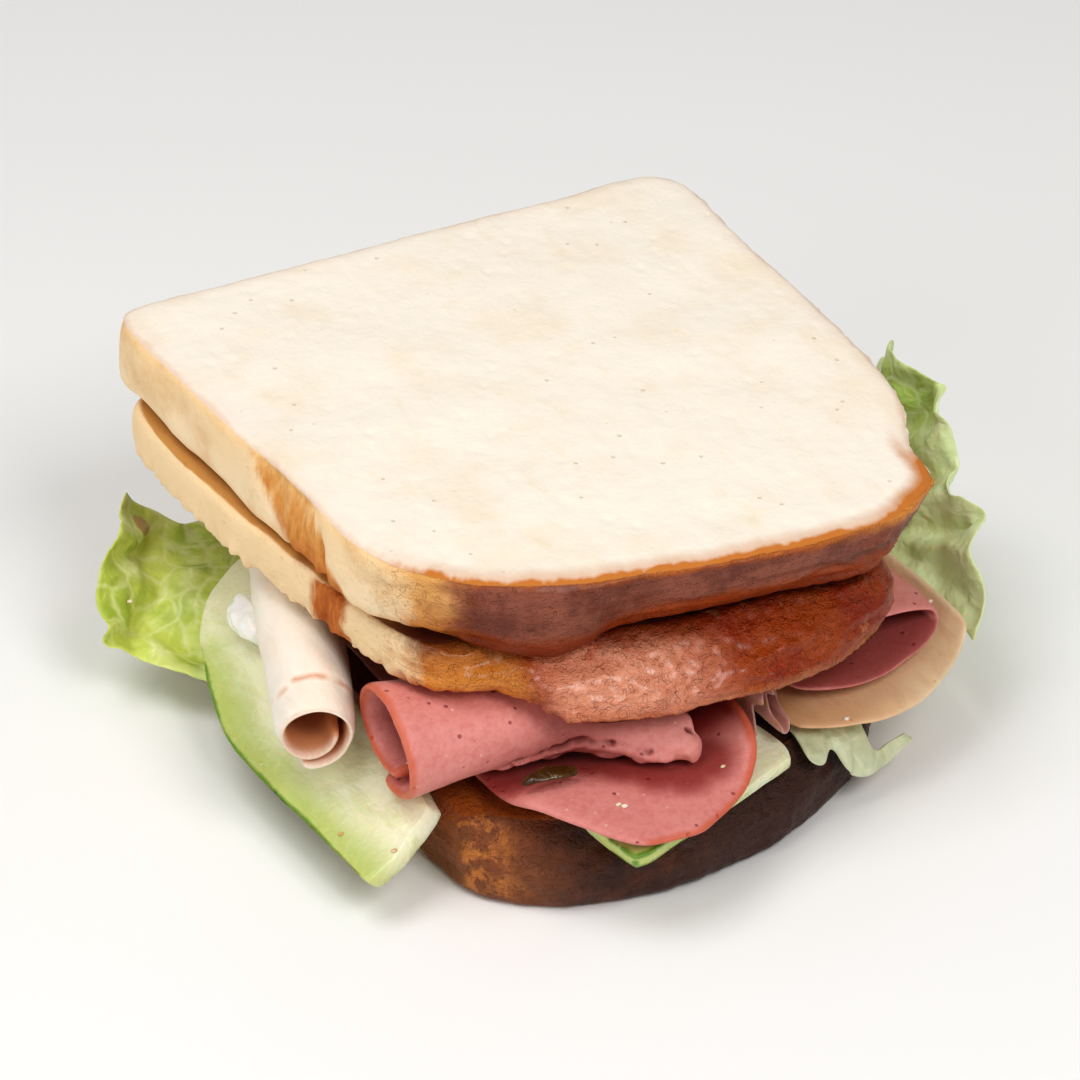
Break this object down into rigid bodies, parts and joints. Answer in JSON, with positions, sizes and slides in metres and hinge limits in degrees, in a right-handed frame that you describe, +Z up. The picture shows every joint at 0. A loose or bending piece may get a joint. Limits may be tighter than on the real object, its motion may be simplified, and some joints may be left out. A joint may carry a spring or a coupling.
{
  "type": "turkey sandwich",
  "caption": "Stacked pan-loaf sandwich with rolled and folded cold cuts, cucumber slabs and frilly lettuce showing at its sides.",
  "frame": {"origin": "middle of the bottom slice's flat underside, where it rests on the floor", "axes": "+Z up through the stack, +X along the glossy front crusts to the right as seen from the front, +Y to the back of the sandwich"},
  "size_m": [0.1545, 0.1379, 0.0677],
  "materials": {
    "crumb": "soft open bread crumb, matte",
    "crust": "baked orange-brown crust with an egg-washed sheen",
    "dark_crust": "dark baked crust, slightly shiny and leathery",
    "mortadella": "moist pink sliced sausage with an orange-red casing",
    "turkey": "moist pale cream sliced turkey breast",
    "ham": "thin wet pinkish-grey ham",
    "lettuce": "fresh bright green leaf, half matte",
    "lettuce_dark": "fresh mid-green frilly leaf, half matte",
    "lettuce_pale": "pale grey-green inner leaf",
    "cucumber": "wet pale green cucumber flesh with a green skin edge",
    "pickle": "wet olive-brown pickle",
    "mayonnaise": "thick glossy white mayonnaise"
  },
  "bodies": {
    "root": {"bread_bottom": "dark_crust", "bread_middle": "crust", "bread_top": "crumb", "cucumber_front": "cucumber", "cucumber_left": "cucumber", "ham_fold": "ham", "lettuce_left": "lettuce", "lettuce_pale": "lettuce_pale", "lettuce_right": "lettuce_dark", "mortadella_fold": "mortadella", "mortadella_roll": "mortadella", "mortadella_scoop": "mortadella", "pickle_strip": "pickle", "turkey_roll": "turkey", "turkey_sleeve": "turkey"}
  },
  "joints": []
}
